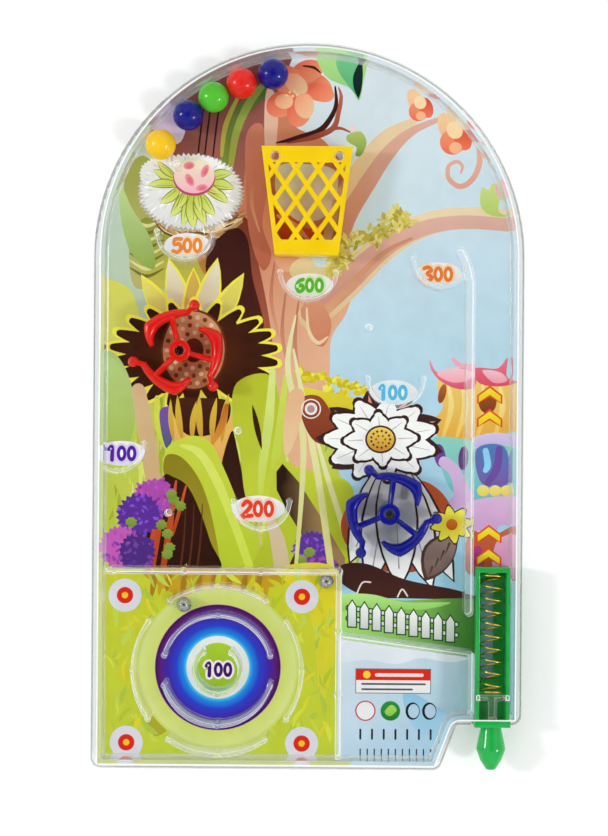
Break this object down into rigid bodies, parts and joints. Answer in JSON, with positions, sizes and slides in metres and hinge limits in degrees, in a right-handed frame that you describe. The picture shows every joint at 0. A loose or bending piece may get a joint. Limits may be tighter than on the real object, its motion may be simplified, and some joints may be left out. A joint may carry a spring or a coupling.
{
  "type": "pachinko machine",
  "caption": "Hand-held pinball toy in a clear arched case, with a sprung plunger, spinners, score cups, a basket net and a target box.",
  "frame": {"origin": "middle of the case's outline, on its back face", "axes": "+Z out of the front, +Y along the case towards its arched top, +X to the right as the player sees it; it lies flat on its back"},
  "size_m": [0.1134, 0.1914, 0.0123],
  "materials": {
    "clear_plastic": "polished, clear",
    "card_print": "satin, printed with a woodland scene",
    "green_plastic": "glossy",
    "gold_spring": "bright drawn wire",
    "red_plastic": "glossy",
    "blue_plastic": "glossy",
    "yellow_plastic": "glossy",
    "ball_yellow_plastic": "glossy",
    "ball_blue_plastic": "glossy",
    "ball_green_plastic": "glossy",
    "ball_red_plastic": "glossy",
    "steel": "polished"
  },
  "bodies": {
    "case": {"back_shell": "clear_plastic", "printed_card": "card_print", "front_cover": "clear_plastic", "lane_rail": "clear_plastic", "chute_wall": "clear_plastic", "spring_stop": "clear_plastic", "target_box_wall": "clear_plastic", "target_outer_arcs": "clear_plastic", "target_inner_arcs": "clear_plastic", "target_centre_cup": "clear_plastic", "cup_500": "clear_plastic", "cup_600": "clear_plastic", "cup_300": "clear_plastic", "cup_100_right": "clear_plastic", "cup_100_left": "clear_plastic", "cup_200": "clear_plastic", "field_pegs": "clear_plastic", "centre_post": "clear_plastic", "basket_pins": "clear_plastic", "red_spinner_post": "clear_plastic", "blue_spinner_post": "clear_plastic", "basket_net": "yellow_plastic", "basket_sides": "yellow_plastic", "plunger_spring": "gold_spring"},
    "plunger": {"plunger": "green_plastic"},
    "red_spinner": {"red_spinner": "red_plastic"},
    "blue_spinner": {"blue_spinner": "blue_plastic"},
    "ball_yellow": {"ball_yellow": "ball_yellow_plastic"},
    "ball_blue_left": {"ball_blue_left": "ball_blue_plastic"},
    "ball_green": {"ball_green": "ball_green_plastic"},
    "ball_red": {"ball_red": "ball_red_plastic"},
    "ball_blue_right": {"ball_blue_right": "ball_blue_plastic"},
    "steel_ball_ring": {"steel_ball_ring": "steel"},
    "steel_ball_corner": {"steel_ball_corner": "steel"}
  },
  "joints": [
    {"name": "plunger_pull", "type": "slide", "parent": "case", "child": "plunger", "axis": [0, -1, 0], "range_m": [0, 0.022], "stiffness_N_per_m": 25, "springref_m": -0.004, "deforming": ["plunger_spring"]},
    {"name": "red_spinner_turn", "type": "hinge", "parent": "case", "child": "red_spinner", "pos_m": [-0.0336, 0.0142, 0.0064], "axis": [0, 0, 1], "continuous": true},
    {"name": "blue_spinner_turn", "type": "hinge", "parent": "case", "child": "blue_spinner", "pos_m": [0.0213, -0.028, 0.0064], "axis": [0, 0, 1], "continuous": true},
    {"name": "ball_yellow_roll", "type": "hinge", "parent": "case", "child": "ball_yellow", "pos_m": [0, 0.039, 0.00605], "axis": [0, 0, 1], "range_deg": [-100, 35]},
    {"name": "ball_blue_left_roll", "type": "hinge", "parent": "case", "child": "ball_blue_left", "pos_m": [0, 0.039, 0.00605], "axis": [0, 0, 1], "range_deg": [-100, 35]},
    {"name": "ball_green_roll", "type": "hinge", "parent": "case", "child": "ball_green", "pos_m": [0, 0.039, 0.00605], "axis": [0, 0, 1], "range_deg": [-100, 35]},
    {"name": "ball_red_roll", "type": "hinge", "parent": "case", "child": "ball_red", "pos_m": [0, 0.039, 0.00605], "axis": [0, 0, 1], "range_deg": [-100, 35]},
    {"name": "ball_blue_right_roll", "type": "hinge", "parent": "case", "child": "ball_blue_right", "pos_m": [0, 0.039, 0.00605], "axis": [0, 0, 1], "range_deg": [-100, 35]},
    {"name": "steel_ball_ring_roll", "type": "hinge", "parent": "case", "child": "steel_ball_ring", "pos_m": [-0.0232, -0.0689, 0.00405], "axis": [0, 0, 1], "continuous": true},
    {"name": "steel_ball_corner_roll", "type": "slide", "parent": "case", "child": "steel_ball_corner", "axis": [0, -1, 0], "range_m": [0, 0.0438]}
  ],
  "couplings": [
    {"joint": "ball_blue_left_roll", "follows": "ball_yellow_roll", "ratio": 1},
    {"joint": "ball_green_roll", "follows": "ball_yellow_roll", "ratio": 1},
    {"joint": "ball_red_roll", "follows": "ball_yellow_roll", "ratio": 1},
    {"joint": "ball_blue_right_roll", "follows": "ball_yellow_roll", "ratio": 1}
  ]
}
